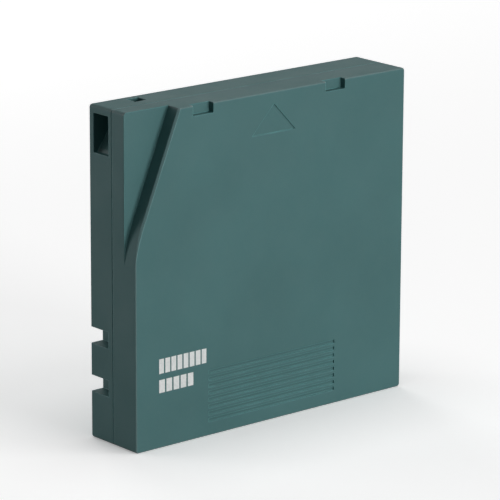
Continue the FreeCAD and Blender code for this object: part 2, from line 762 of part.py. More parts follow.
def tape_door():
    """The sliding door with the tab that the drive pushes, and the heel that its spring pushes."""
    body = new_body("tape_door")
    pad(body, "panel", "(floor_wall + slide_gap)", f"({ROOF} - slide_gap)",
        rect(DOOR_IN, DOOR_OUT, DOOR_REAR, DOOR_FRONT))
    pad(body, "tab", "tab_base", "(tab_base + tab_height)",
        rect(DOOR_OUT, f"{RIGHT} - tab_sink", f"{WINDOW_FRONT} - tab_gap - tab_length", f"{WINDOW_FRONT} - tab_gap"))
    reach = "(spring_radius + spring_wire)"
    pad(body, "heel", f"({SPRING_LEVEL} - {reach})", f"({SPRING_LEVEL} + {reach})",
        rect(f"{SPRING_X} - spring_radius", DOOR_OUT, DOOR_REAR, f"{DOOR_REAR} + heel_length"))
    lengthwise(body, "Pad", "peg", f"({DOOR_REAR} - peg_length)", DOOR_REAR,
               circle(SPRING_X, y_of(SPRING_LEVEL), "peg_radius"))
    return body


def coil(label, centre_x, centre_z, plane, radius, wire, start, length, turns):
    """Winds a compression spring along the second axis of a plane."""
    body = new_body(label, centre_x, centre_z)
    sketch = sketch_at(body, "wire_outline", "0", plane)
    circle(radius, f"{start} + {wire} / 2", f"{wire} / 2")(sketch)
    helix = body.newObject("PartDesign::AdditiveHelix", "turns")
    helix.Profile = sketch
    helix.ReferenceAxis = (sketch, ["V_Axis"])
    helix.Mode = "height-turns-angle"
    bind(helix, "Height", f"{length} - {wire}")
    bind(helix, "Turns", turns)
    finish(body, helix)
    return body


def door_spring():
    """The spring that keeps the tape door shut."""
    start = "(spring_seat_start + spring_seat_length + spring_end_gap)"
    return coil("door_spring", SPRING_X, "0", "XZ_Plane", "spring_radius", "spring_wire", start,
                f"({DOOR_REAR} - spring_end_gap - {start})", "spring_turns")


def write_protect_switch():
    """The sliding button in the rear edge, with a plate behind the wall that keeps it in."""
    body = new_body("write_protect_switch")
    left = f"({LEFT} + window_side + slide_gap)"
    low, high = "(switch_base + slide_gap)", "(switch_base + switch_window_height - slide_gap)"
    lengthwise(body, "Pad", "button", "switch_sink", "(end_wall + slide_gap)",
               rect(left, f"{left} + switch_width", y_of(high), y_of(low)))
    lengthwise(body, "Pad", "plate", "(end_wall + slide_gap)", "(end_wall + slide_gap + switch_plate)",
               rect(f"{left} - switch_lap", f"{left} + switch_width + switch_lap",
                    y_of(f"({high} + switch_lap)"), y_of(f"({low} - switch_lap)")))
    middles = [f"{left} + switch_width / 3", f"{left} + 2 * switch_width / 3"]
    lengthwise(body, "Pocket", "thumb_grooves", "(0 - cut_overrun)", "(switch_sink + thumb_groove)",
               *[rect(f"{middle} - thumb_groove / 2", f"{middle} + thumb_groove / 2", y_of(high), y_of(low))
                 for middle in middles])
    return body


# Reel

def tooth_ring(body, name, root, tip, inner, outer, widths, phase):
    """Adds a ring of radial teeth, from a root level to a tip level; the phase turns the ring."""
    root_width, tip_width = widths
    sketch = body.newObject("Sketcher::SketchObject", f"{name}_outline")
    sketch.AttachmentSupport = [(origin_part(body, "YZ_Plane"), "")]
    sketch.MapMode = "FlatFace"
    sketch.AttachmentOffset = Placement(Vector(0, 0, 1), Rotation(Vector(1, 0, 0), 1))
    bind(sketch, ".AttachmentOffset.Base.y", f"0 - {inner} * sin({phase})")
    bind(sketch, ".AttachmentOffset.Base.z", f"{inner} * cos({phase})")
    bind(sketch, ".AttachmentOffset.Rotation.Angle", phase)
    polygon((y_of(root), f"0 - {root_width} / 2"), (y_of(root), f"{root_width} / 2"),
            (y_of(tip), f"{tip_width} / 2"), (y_of(tip), f"0 - {tip_width} / 2"))(sketch)
    tooth = body.newObject("PartDesign::Pad", f"{name}_tooth")
    tooth.Profile = sketch
    bind(tooth, "Length", f"{outer} - {inner}")
    return pattern_round(body, name, tooth, "tooth_count")


def leg_circle(radius, turn):
    """Draws a circle where one of the release pad's legs goes."""
    return circle(f"leg_circle * cos({turn} deg)", f"leg_circle * sin({turn} deg)", radius)


def reel_hub():
    """The hub with its lower flange, the teeth that the drive turns and the ring that the brake locks."""
    body = new_body("reel_hub", None, REEL_Z)
    pad(body, "flange", FLANGE_LEVEL, WIND_LEVEL, circle("0", "0", FLANGE_RADIUS))
    pad(body, "boss", "hub_level", WIND_LEVEL, circle("0", "0", BOSS_RADIUS))
    pad(body, "barrel", WIND_LEVEL, TOP_FLANGE_LEVEL, circle("0", "0", "hub_radius"))
    pocket(body, "bore", PLATE_TOP, TOP_FLANGE_LEVEL, circle("0", "0", "hub_radius - hub_wall"))
    pad(body, "lock_ring", PLATE_TOP, LOCK_ROOT, circle("0", "0", "lock_inner"), circle("0", "0", "lock_outer"))
    pocket(body, "plate_seat", "hub_level", "(hub_level + plate_inset)",
           circle("0", "0", "plate_hole - plate_gap"), circle("0", "0", "plate_radius + plate_gap"))
    tooth_ring(body, "lock_teeth", LOCK_ROOT, f"({LOCK_ROOT} + tooth_height)", "lock_inner", "lock_outer",
               ("tooth_base", "tooth_tip"), "0 deg")
    drive_tips = "(hub_level - drive_tooth_height)"
    tooth_ring(body, "drive_teeth", "hub_level", drive_tips, "drive_ring_inner", "drive_ring_outer",
               ("drive_tooth_base", "drive_tooth_tip"), "0 deg")
    across_ring = ("(lock_inner - slide_gap)", "(lock_outer + slide_gap)")
    pocket(body, "arm_slots", PLATE_TOP, f"({LOCK_ROOT} + tooth_height)",
           *[turned_rect(across_ring, "(arm_width / 2 + leg_gap)", turn) for turn in LEG_TURNS])
    pocket(body, "leg_holes", drive_tips, PLATE_TOP, *[leg_circle("leg_radius + leg_gap", turn) for turn in LEG_TURNS])
    return body


def ring_body(label, low, high, inner, outer):
    """Makes a flat ring or a sleeve on the reel's axis."""
    body = new_body(label, None, REEL_Z)
    pad(body, "ring", low, high, circle("0", "0", inner), circle("0", "0", outer))
    return body


def reel_upper_flange():
    """The flange welded on the hub's top."""
    return ring_body("reel_upper_flange", TOP_FLANGE_LEVEL, f"({TOP_FLANGE_LEVEL} + flange_thick)",
                     "(hub_radius - hub_wall)", FLANGE_RADIUS)


def clutch_plate():
    """The steel ring that the drive's magnet pulls."""
    top = "(hub_level + plate_inset)"
    return ring_body("clutch_plate", f"({top} - plate_thick)", top, "plate_hole", "plate_radius")


def tape_pack():
    """The wound tape, as one solid."""
    return ring_body("tape_pack", TAPE_LEVEL, TAPE_TOP, "(hub_radius + wound_gap)", f"({FLANGE_RADIUS} - flange_lip)")


def reel_brake():
    """The toothed disc that locks the hub, keyed to the upper shell so that it lifts but can't turn."""
    body = new_body("reel_brake", None, REEL_Z)
    pad(body, "disc", BRAKE_LEVEL, BRAKE_TOP, circle("0", "0", "brake_radius"))
    tooth_ring(body, "teeth", BRAKE_LEVEL, BRAKE_TIPS, "lock_inner", "lock_outer",
               ("tooth_base", "tooth_tip"), "180 deg / tooth_count")
    boss_top = f"({BRAKE_TOP} + brake_boss_height)"
    pad(body, "boss", BRAKE_TOP, boss_top, circle("0", "0", "brake_boss"))
    socket = f"({BRAKE_TOP} + key_floor)"
    long_half, short_half = "(key_length / 2 + key_gap)", "(key_width / 2 + key_gap)"
    pocket(body, "socket_across", socket, boss_top,
           rect(f"0 - {long_half}", long_half, f"0 - {short_half}", short_half))
    pocket(body, "socket_along", socket, boss_top,
           rect(f"0 - {short_half}", short_half, f"0 - {long_half}", long_half))
    return body


def brake_spring():
    """The spring between the brake and the upper shell."""
    start = f"({y_of(ROOF)} + spring_end_gap)"
    return coil("brake_spring", None, REEL_Z, "XY_Plane", "brake_spring_radius", "brake_spring_wire", start,
                f"({ROOF} - {BRAKE_TOP} - 2 * spring_end_gap)", "brake_spring_turns")


def release_pad():
    """The three-legged pad in the hub; the drive pushes its legs, and it lifts the brake."""
    body = new_body("release_pad", None, REEL_Z)
    top = f"({PAD_LEVEL} + pad_thick)"
    pad(body, "disc", PAD_LEVEL, top, circle("0", "0", "pad_radius"))
    pad(body, "button", top, f"({BRAKE_LEVEL} - pad_gap)", circle("0", "0", "pad_button"))
    for turn in LEG_TURNS:
        pad(body, f"arm_{turn}", PAD_LEVEL, top, turned_rect(("0", "leg_circle"), "(arm_width / 2)", turn))
    pad(body, "legs", "leg_level", top, *[leg_circle("leg_radius", turn) for turn in LEG_TURNS])
    return body


# Leader pin and what holds it

def leader_pin():
    """The pin that the drive takes, with a knob at each end."""
    body = new_body("leader_pin", PIN_X, PIN_Z)
    pad(body, "lower_knob", PIN_LEVEL, f"({PIN_LEVEL} + knob_height)", circle("0", "0", "knob_radius"))
    pad(body, "shaft", f"({PIN_LEVEL} + knob_height)", f"({PIN_TOP} - knob_height)", circle("0", "0", "pin_radius"))
    pad(body, "upper_knob", f"({PIN_TOP} - knob_height)", PIN_TOP, circle("0", "0", "knob_radius"))
    return body


def aim_at_pack(body):
    """Turns a body at the leader pin so that its -X side points where the tape leaves the pack."""
    rise = f"({PIN_Z} - {REEL_Z})"
    distance = f"sqrt({PIN_X} ^ 2 + {rise} ^ 2)"
    radius = f"({FLANGE_RADIUS} - flange_lip + leader_gap + leader_thick / 2)"
    body.Placement = Placement(Vector(0, 0, 0), Rotation(Vector(0, 1, 0), 1))
    bind(body, ".Placement.Base.x", PIN_X)
    bind(body, ".Placement.Base.z", PIN_Z)
    bind(body, ".Placement.Rotation.Angle", f"asin({radius} / {distance}) - atan({rise} / {PIN_X})")
    return f"sqrt({PIN_X} ^ 2 + {rise} ^ 2 - {radius} ^ 2)"


def pin_clamp():
    """The split sleeve that grips the tape's end on the pin."""
    body = new_body("pin_clamp")
    aim_at_pack(body)
    pad(body, "sleeve", TAPE_LEVEL, TAPE_TOP,
        circle("0", "0", "pin_radius + clamp_gap"), circle("0", "0", "clamp_radius"))
    pocket(body, "slit", TAPE_LEVEL, TAPE_TOP,
           rect("0 - clamp_radius - cut_overrun", "0", "0 - clamp_slit / 2", "clamp_slit / 2"))
    return body


def leader_tape():
    """The straight run of tape from the pack to the pin."""
    body = new_body("leader_tape")
    run = aim_at_pack(body)
    pad(body, "strip", TAPE_LEVEL, TAPE_TOP,
        rect(f"0 - {run}", "0 - pin_radius - clamp_gap", "0 - leader_thick / 2", "leader_thick / 2"))
    return body


def pin_clip(label, low):
    """A hairpin of spring steel round the nest's wall, with its nose in front of the pin's knob."""
    body = new_body(label)
    high = f"({low} + clip_height)"
    middle = f"({PIN_Z} + knob_radius + nest_gap + nest_wall / 2)"
    centre = f"({PIN_X} + nest_reach + clip_gap)"
    inner = "(nest_wall / 2 + clip_gap)"
    outer = "(nest_wall / 2 + clip_gap + clip_thick)"
    pad(body, "bend", low, high, circle(centre, middle, inner), circle(centre, middle, outer))
    pocket(body, "open_side", low, high,
           rect(f"{centre} - {outer} - cut_overrun", centre,
                f"{middle} - {outer} - cut_overrun", f"{middle} + {outer} + cut_overrun"))
    pad(body, "leg", low, high,
        rect(f"{PIN_X} - knob_radius - nest_gap", centre, f"{middle} + {inner}", f"{middle} + {outer}"))
    pad(body, "nose", low, high,
        rect(f"{centre} - clip_nose", centre, f"{middle} - {outer}", f"{middle} - {inner}"))
    return body


# Memory board, tilted across the rear right corner

def on_board(label, low, high, *shapes):
    """Makes a flat piece in the board's own tilted frame."""
    body = new_body(label)
    body.Placement = Placement(Vector(0, 0, 0), Rotation(Vector(1, 0, 0), BOARD_TILT))
    bind(body, ".Placement.Base.x", f"{RIGHT} - board_side - board_width / 2")
    bind(body, ".Placement.Base.y", y_of(BOARD_LEVEL))
    bind(body, ".Placement.Base.z", BOARD_Z)
    lengthwise(body, "Pad", "plate", low, high, *shapes)
    return body


def centred(width, length):
    """Draws a rectangle about the middle."""
    return rect(f"0 - ({width}) / 2", f"({width}) / 2", f"0 - ({length}) / 2", f"({length}) / 2")


def memory_board():
    """The small circuit board that rests on two ribs."""
    return on_board("memory_board", "0", "board_thick", centred("board_width", "board_length"))


def memory_coil():
    """The aerial loop on the board's outer face."""
    return on_board("memory_coil", "(0 - coil_thick)", "0", centred("coil_width", "coil_length"),
                    centred("coil_width - 2 * coil_band", "coil_length - 2 * coil_band"))


def memory_chip():
    """The sealed chip on the board's inner face."""
    body = on_board("memory_chip", "board_thick", "(board_thick + chip_height)", centred("chip_size", "chip_size"))
    soften(body, "Chamfer", "bevel", "Size", "chip_round", touches_far_face(body))
    return body


def touches_far_face(body):
    """Picks the edges of the face that lies furthest along the body's own Z."""
    doc.recompute()
    top = SIZES["chip_height"] + SIZES["board_thick"]
    return lambda edge: all(abs(vertex.Z - top) < 0.01 for vertex in edge.Vertexes)


# Screws

def case_screws():
    """The four screws that hold the shells together, each with a cross recess."""
    screws = []
    for i, (x, z) in enumerate(SCREWS):
        body = new_body(f"screw_{i}", x, z)
        seat = "(head_sink + head_height)"
        pad(body, "head", "head_sink", seat, circle("0", "0", "head_radius"))
        pad(body, "shank", seat, f"({seat} + screw_length)", circle("0", "0", "screw_radius"))
        recess = "(head_sink + cross_depth)"
        pocket(body, "cross_long", "head_sink", recess, centred("cross_length", "cross_width"))
        pocket(body, "cross_short", "head_sink", recess, centred("cross_width", "cross_length"))
        screws.append(body)
    group = doc.addObject("Part::Compound", "case_screws")
    group.Label = "case_screws"
    group.Links = screws
    return group


def build():
    """Builds every sub-part of the cartridge."""
    nodes = [upper_shell(), lower_shell(), tape_door(), door_spring(), write_protect_switch()]
    nodes += [reel_hub(), reel_upper_flange(), clutch_plate(), tape_pack(), reel_brake(), brake_spring()]
    nodes += [release_pad(), leader_pin(), pin_clamp(), leader_tape()]
    nodes.append(pin_clip("pin_clip_lower", "(floor_wall + slide_gap)"))
    nodes.append(pin_clip("pin_clip_upper", f"({ROOF} - slide_gap - clip_height)"))
    nodes += [memory_board(), memory_coil(), memory_chip(), case_screws()]
    doc.recompute()
    return nodes


def check(nodes):
    """Stops if any object failed, or any sub-part has no sound shape."""
    for thing in doc.Objects:
        if "Invalid" in thing.State or "Error" in thing.State:
            raise RuntimeError(f"{thing.Label} failed: {thing.State}")
    for node in nodes:
        if node.Shape.isNull() or not node.Shape.isValid() or not node.Shape.Solids:
            raise RuntimeError(f"{node.Label} has no sound shape")


def export(nodes):
    """Writes one STEP file for each sub-part."""
    os.makedirs("parts", exist_ok=True)
    for node in nodes:
        node.Shape.exportStep(f"parts/{node.Label}.step")
        print(f"{node.Label}: {len(node.Shape.Solids)} solid, {node.Shape.Volume:.1f} mm3")


cartridge = build()
check(cartridge)
export(cartridge)
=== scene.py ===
from math import cos, pi, radians, sin
import bpy
from mathutils import Matrix, Vector


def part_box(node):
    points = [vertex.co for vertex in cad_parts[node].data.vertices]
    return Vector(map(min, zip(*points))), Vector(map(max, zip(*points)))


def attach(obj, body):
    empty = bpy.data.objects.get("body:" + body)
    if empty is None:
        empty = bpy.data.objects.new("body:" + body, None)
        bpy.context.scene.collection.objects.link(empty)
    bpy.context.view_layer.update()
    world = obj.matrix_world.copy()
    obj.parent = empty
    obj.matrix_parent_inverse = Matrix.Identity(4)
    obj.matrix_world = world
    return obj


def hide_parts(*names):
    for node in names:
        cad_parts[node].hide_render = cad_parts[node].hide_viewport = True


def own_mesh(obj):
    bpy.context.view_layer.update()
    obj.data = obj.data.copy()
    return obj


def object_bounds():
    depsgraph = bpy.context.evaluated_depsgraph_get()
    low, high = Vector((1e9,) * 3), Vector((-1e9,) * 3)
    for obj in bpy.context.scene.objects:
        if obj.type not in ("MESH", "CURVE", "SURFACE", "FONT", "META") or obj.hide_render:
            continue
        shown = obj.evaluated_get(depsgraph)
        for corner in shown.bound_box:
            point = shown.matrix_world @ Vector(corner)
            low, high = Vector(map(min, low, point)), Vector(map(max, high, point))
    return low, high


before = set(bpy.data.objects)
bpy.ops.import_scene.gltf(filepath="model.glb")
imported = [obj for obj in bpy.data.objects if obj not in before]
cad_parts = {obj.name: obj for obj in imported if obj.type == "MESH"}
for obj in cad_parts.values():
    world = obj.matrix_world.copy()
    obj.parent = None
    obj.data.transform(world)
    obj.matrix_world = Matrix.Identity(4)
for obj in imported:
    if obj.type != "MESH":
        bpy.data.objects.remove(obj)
CAD_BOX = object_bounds()

# Data tape cartridge standing on its rear edge, its insertion step at the upper left
MM = 0.001

# Places on the solids, in millimetres
REEL_AXIS_HEIGHT = 51.0
BROAD_FACE_DEPTH = -10.75

# Wire coils
STEPS_PER_TURN = 28
WIRE_SIDES = 10
CLOSED_TURNS = 1.0

# How well the rounded normal agrees with the face's own, off an edge and on it
OFF_EDGE = 0.9995
ON_EDGE = 0.965

# The largest part of a normal, on a face along an axis and on a rounded rim
SQUARE_ON = 0.998
ROUNDED = 0.93

# Floor, with sizes in metres
FLOOR_REACH = 30.0
FADE_START = 0.25
FADE_END = 1.1
FLOOR_GREY = 0.9
FLOOR_GLOW = 0.62
# Share of the floor's glow kept in its painted contact shadow, and how far that painted shadow reaches
SHADED_GLOW = 0.45
CONTACT_REACH = 0.045
BOUNCE_GREY = 0.07
SURROUND = 0.03

# Lamps, with sizes in metres
LAMP_SIZE = 0.5
LAMP_DISTANCE = 1.3
LAMP_AIM = (0.0, 0.0, 0.05)

# Camera: its place in metres, its roll in degrees, its lens and sensor in millimetres
VIEWPOINT = (-0.6433, -0.756, 0.3205)
ROLL = 0.25
LENS = 245.0
SENSOR_WIDTH = 36.0
CLIP_RANGE = (0.01, 100.0)


def grey(level):
    """A neutral colour."""
    return (level, level, level, 1.0)


TEAL = (0.04, 0.126, 0.128)
PALE = (0.62, 0.62, 0.59)
DARK = (0.045, 0.045, 0.047)
WHITE = grey(1.0)
# Grey of the painted highlight on rounded rims
HIGHLIGHT_GREY = grey(0.5)
INK = (0.84, 0.86, 0.85, 1.0)
DUST = (0.42, 0.41, 0.38, 1.0)
DUST_ON_TAPE = (0.3, 0.29, 0.27, 1.0)


# Shader node helpers

def put(tree, kind, values=None, **settings):
    """Adds a shader node; values fill its inputs by name or number with numbers, colours or other sockets."""
    made = tree.nodes.new(f"ShaderNode{kind}")
    for name, setting in settings.items():
        setattr(made, name, setting)
    for name, value in (values or {}).items():
        if isinstance(value, bpy.types.NodeSocket):
            tree.links.new(value, made.inputs[name])
        else:
            made.inputs[name].default_value = value
    return made


def work_out(tree, operation, *terms, clamp=False):
    """Does one operation on numbers."""
    return put(tree, "Math", dict(enumerate(terms)), operation=operation, use_clamp=clamp).outputs[0]


def times(tree, first, second):
    """Multiplies two numbers."""
    return work_out(tree, "MULTIPLY", first, second)


def ramp(tree, value, low, high, to_low=0.0, to_high=1.0, smooth=False):
    """Maps a number from one range to another, and holds it inside."""
    kind = "SMOOTHSTEP" if smooth else "LINEAR"
    values = {"Value": value, "From Min": low, "From Max": high, "To Min": to_low, "To Max": to_high}
    return put(tree, "MapRange", values, interpolation_type=kind).outputs["Result"]


def blend(tree, share, first, second):
    """Mixes two colours."""
    return put(tree, "Mix", {"Factor": share, 6: first, 7: second}, data_type="RGBA").outputs[2]


def split(tree, vector):
    """The X, Y and Z of a vector."""
    return put(tree, "SeparateXYZ", {0: vector}).outputs


def own_place(tree):
    """The place of a point in millimetres, which stays with the piece when it moves."""
    place = put(tree, "TexCoord").outputs["Object"]
    return put(tree, "VectorMath", {0: place, "Scale": 1 / MM}, operation="SCALE").outputs[0]


def own_normal(tree):
    """The way a point of the piece faces."""
    return put(tree, "TexCoord").outputs["Normal"]


def noise(tree, place, size, detail=2.0, roughness=0.5):
    """Soft noise with features of about one size in millimetres."""
    scale = work_out(tree, "DIVIDE", 1.0, size)
    values = {"Vector": place, "Scale": scale, "Detail": detail, "Roughness": roughness}
    return put(tree, "TexNoise", values).outputs[0]


def patches(tree, place, size, low, high, to_low=0.0, to_high=1.0, detail=3.0, roughness=0.5):
    """Patches of about one size in millimetres: noise, mapped from one range to another."""
    return ramp(tree, noise(tree, place, size, detail, roughness), low, high, to_low, to_high)


def bump(tree, height, depth, **normal):
    """Turns a height from 0 to 1 into bumps; the depth is in metres."""
    return put(tree, "Bump", {"Strength": 1.0, "Distance": depth, "Height": height, **normal}).outputs[0]


def effect(name, inputs, outputs):
    """Starts a shader node group with named inputs and outputs."""
    tree = bpy.data.node_groups.new(name, "ShaderNodeTree")
    for label, kind, value in inputs:
        socket = tree.interface.new_socket(label, in_out="INPUT", socket_type=f"NodeSocket{kind}")
        if value is not None:
            socket.default_value = value
    for label, kind in outputs:
        tree.interface.new_socket(label, in_out="OUTPUT", socket_type=f"NodeSocket{kind}")
    return tree, tree.nodes.new("NodeGroupInput").outputs, tree.nodes.new("NodeGroupOutput").inputs


def use(tree, group, values):
    """Places a group in a material, with that material's own values."""
    return put(tree, "Group", values, node_tree=group).outputs


# Effects that several materials share

def soft_edge_effect():
    """Rounds an edge's shading and says where an edge is drawn lighter: partly rubbed by handling, partly a
    painted highlight.
    """
    tree, given, out = effect("soft_edge", [("Radius", "Float", 0.3), ("Patch size", "Float", 6.0)],
                              [("Normal", "Vector"), ("Rubbed and highlight", "Float")])
    radius = times(tree, given["Radius"], MM)
    rounded = put(tree, "Bevel", {"Radius": radius}, samples=6).outputs[0]
    flat = put(tree, "NewGeometry").outputs["Normal"]
    agree = put(tree, "VectorMath", {0: rounded, 1: flat}, operation="DOT_PRODUCT").outputs["Value"]
    edge = ramp(tree, agree, OFF_EDGE, ON_EDGE)
    uneven = patches(tree, own_place(tree), given["Patch size"], 0.36, 0.66, 0.55, 1.0,
                     detail=4.0, roughness=0.65)
    tree.links.new(rounded, out["Normal"])
    tree.links.new(times(tree, edge, uneven), out["Rubbed and highlight"])
    return tree


def spark_grain_effect():
    """The fine spark texture of a moulding tool: low bumps and a little speckle."""
    tree, given, out = effect("spark_grain", [("Grain size", "Float", 0.2), ("Depth", "Float", 0.01),
                                              ("Normal", "Vector", None)],
                              [("Normal", "Vector"), ("Speckle", "Float")])
    fine = noise(tree, own_place(tree), given["Grain size"], detail=3.0, roughness=0.6)
    tree.links.new(bump(tree, fine, times(tree, given["Depth"], MM), Normal=given["Normal"]), out["Normal"])
    tree.links.new(ramp(tree, fine, 0.3, 0.7), out["Speckle"])
    return tree


def handling_effect():
    """Faint smudges from fingers, and dust that settles where a face looks up."""
    tree, given, out = effect("handling", [("Smudge size", "Float", 14.0), ("Dust", "Float", 0.2)],
                              [("Smudge", "Float"), ("Dust", "Float")])
    place = own_place(tree)
    smudge = patches(tree, place, given["Smudge size"], 0.36, 0.68, detail=5.0, roughness=0.55)
    settled = ramp(tree, split(tree, own_normal(tree))["Z"], 0.2, 0.95, 0.25, 1.0)
    specks = patches(tree, place, 0.45, 0.6, 0.78, detail=2.0, roughness=0.7)
    film = patches(tree, place, 5.0, 0.35, 0.75, 0.1, 0.5, detail=4.0, roughness=0.6)
    dust = times(tree, work_out(tree, "MAXIMUM", specks, film), settled)
    tree.links.new(smudge, out["Smudge"])
    tree.links.new(times(tree, dust, given["Dust"]), out["Dust"])
    return tree


def fine_lines_effect():
    """Lines of uneven strength across one coordinate, as turning, drawing or winding leaves them."""
    tree, given, out = effect("fine_lines", [("Along", "Float", 0.0), ("Line width", "Float", 0.1)],
                              [("Lines", "Float"), ("Bands", "Float")])
    lines_per_band = 14.0
    scale = work_out(tree, "DIVIDE", 1.0, given["Line width"])
    broad = work_out(tree, "DIVIDE", scale, lines_per_band)
    lines = put(tree, "TexNoise", {"W": given["Along"], "Scale": scale, "Detail": 3.0, "Roughness": 0.7},
                noise_dimensions="1D").outputs[0]
    bands = put(tree, "TexNoise", {"W": given["Along"], "Scale": broad, "Detail": 2.0},
                noise_dimensions="1D").outputs[0]
    tree.links.new(ramp(tree, lines, 0.3, 0.7), out["Lines"])
    tree.links.new(ramp(tree, bands, 0.35, 0.65), out["Bands"])
    return tree


def printed_row_effect():
    """A row of plain blocks of ink on the upper shell's face, with edges that bleed slightly."""
    labels = ("Left", "Right", "Low", "High", "Pitch", "Gap")
    tree, given, out = effect("printed_row", [(label, "Float", 1.0) for label in labels], [("Ink", "Float")])
    place = own_place(tree)
    across, depth, height = split(tree, place)
    from_left = work_out(tree, "SUBTRACT", across, given["Left"])
    from_block = work_out(tree, "FLOORED_MODULO", from_left, given["Pitch"])
    block = work_out(tree, "SUBTRACT", given["Pitch"], given["Gap"])
    inside = from_left
    for distance in (
        work_out(tree, "SUBTRACT", given["Right"], across),
        work_out(tree, "SUBTRACT", height, given["Low"]),
        work_out(tree, "SUBTRACT", given["High"], height),
        from_block,
        work_out(tree, "SUBTRACT", block, from_block),
    ):
        inside = work_out(tree, "MINIMUM", inside, distance)
    bleed = patches(tree, place, 0.3, 0.0, 1.0, -0.07, 0.07, detail=3.0, roughness=0.6)
    inked = ramp(tree, work_out(tree, "ADD", inside, bleed), -0.04, 0.04)
    on_face = ramp(tree, depth, BROAD_FACE_DEPTH + 0.07, BROAD_FACE_DEPTH + 0.03)
    thin = patches(tree, place, 0.8, 0.3, 0.55, 0.84, 1.0, detail=3.0, roughness=0.7)
    tree.links.new(times(tree, times(tree, inked, on_face), thin), out["Ink"])
    return tree


def rim_highlight_effect():
    """Says where a rounded rim is, for its painted highlight: it faces along no axis, and rays that go into it
    come out again soon.
    """
    tree, given, out = effect("painted_rim_highlight", [("Reach", "Float", 1.0)], [("Rim", "Float")])
    facing = put(tree, "VectorMath", {0: own_normal(tree)}, operation="ABSOLUTE").outputs[0]
    along_x, along_y, along_z = split(tree, facing)
    largest = work_out(tree, "MAXIMUM", work_out(tree, "MAXIMUM", along_x, along_y), along_z)
    rounded = ramp(tree, largest, SQUARE_ON, ROUNDED)
    reach = times(tree, given["Reach"], MM)
    buried = put(tree, "AmbientOcclusion", {"Distance": reach}, samples=8, inside=True, only_local=True)
    thin = ramp(tree, buried.outputs["AO"], 0.96, 0.75)
    tree.links.new(times(tree, rounded, thin), out["Rim"])
    return tree


SOFT_EDGE = soft_edge_effect()
SPARK_GRAIN = spark_grain_effect()
HANDLING = handling_effect()
FINE_LINES = fine_lines_effect()
PRINTED_ROW = printed_row_effect()
RIM_HIGHLIGHT = rim_highlight_effect()


# Materials

def start_material(name, **constants):
    """Makes a material with one surface shader; the constants go on its own sockets."""
    material = bpy.data.materials.new(name)
    material.use_nodes = True
    tree = material.node_tree
    shader = next(node for node in tree.nodes if node.type == "BSDF_PRINCIPLED")
    for socket, value in constants.items():
        shader.inputs[socket].default_value = value
    return material, tree, shader


def connect(tree, shader, shade, rough, normal):
    """Gives a surface shader its colour, roughness and normal."""
    tree.links.new(shade, shader.inputs["Base Color"])
    tree.links.new(rough, shader.inputs["Roughness"])
    tree.links.new(normal, shader.inputs["Normal"])


def tint(colour, factor):
    """A colour made lighter or darker."""
    return (*[min(1.0, part * factor) for part in colour], 1.0)


def moulded_plastic(name, colour, roughness, grain=0.24, depth=0.02, dust=0.12, rim=0.0, rows=()):
    """Injection moulded plastic: spark texture, edges lighter from rubbing and a painted highlight, smudges,
    dust, a painted highlight on rounded rims and printed rows.
    """
    material, tree, shader = start_material(name, IOR=1.46)
    edge = use(tree, SOFT_EDGE, {"Radius": 0.36, "Patch size": 7.0})
    grained = use(tree, SPARK_GRAIN, {"Grain size": grain, "Depth": depth, "Normal": edge["Normal"]})
    handled = use(tree, HANDLING, {"Smudge size": 16.0, "Dust": dust})
    flow = patches(tree, own_place(tree), 30.0, 0.3, 0.7)
    shade = blend(tree, flow, tint(colour, 0.93), tint(colour, 1.07))
    shade = blend(tree, times(tree, grained["Speckle"], 0.22), shade, tint(colour, 1.5))
    # Edges painted lighter: partly rubbed wear, partly a painted highlight on the rims.
    shade = blend(tree, times(tree, edge["Rubbed and highlight"], 0.85), shade, tint(colour, 2.5))
    # Painted highlight: rounded rims blended towards a neutral grey.
    if rim > 0.0:
        rim_sheen = use(tree, RIM_HIGHLIGHT, {"Reach": 1.2})["Rim"]
        shade = blend(tree, times(tree, rim_sheen, rim), shade, HIGHLIGHT_GREY)
    shade = blend(tree, handled["Dust"], shade, DUST)
    rough = ramp(tree, handled["Smudge"], 0.0, 1.0, roughness, roughness - 0.07)
    rough = work_out(tree, "ADD", rough, times(tree, handled["Dust"], 0.5), clamp=True)
    rough = work_out(tree, "SUBTRACT", rough, times(tree, edge["Rubbed and highlight"], 0.2), clamp=True)
    for row in rows:
        ink = use(tree, PRINTED_ROW, row)["Ink"]
        shade = blend(tree, ink, shade, INK)
        rough = ramp(tree, ink, 0.0, 1.0, rough, 0.5)
    connect(tree, shader, shade, rough, grained["Normal"])
    return material


def bright_metal(name, colour, roughness, along, line_width, metallic=1.0):
    """Steel or copper with the fine lines that turning, drawing or stamping leaves across one coordinate."""
    material, tree, shader = start_material(name, Metallic=metallic)
    edge = use(tree, SOFT_EDGE, {"Radius": 0.12, "Patch size": 2.5})
    lined = use(tree, FINE_LINES, {"Along": along(tree), "Line width": line_width})
    stain = patches(tree, own_place(tree), 7.0, 0.3, 0.75)
    shade = blend(tree, stain, tint(colour, 1.03), tint(colour, 0.93))
    shade = blend(tree, times(tree, lined["Lines"], 0.35), shade, tint(colour, 0.6))
    shade = blend(tree, times(tree, lined["Bands"], 0.3), shade, tint(colour, 0.72))
    shade = blend(tree, times(tree, edge["Rubbed and highlight"], 0.5), shade, tint(colour, 1.25))
    rough = ramp(tree, lined["Lines"], 0.0, 1.0, roughness - 0.06, roughness + 0.1)
    rough = work_out(tree, "ADD", rough, times(tree, stain, 0.08), clamp=True)
    bumped = bump(tree, lined["Lines"], 0.003 * MM, Normal=edge["Normal"])
    connect(tree, shader, shade, rough, bumped)
    return material


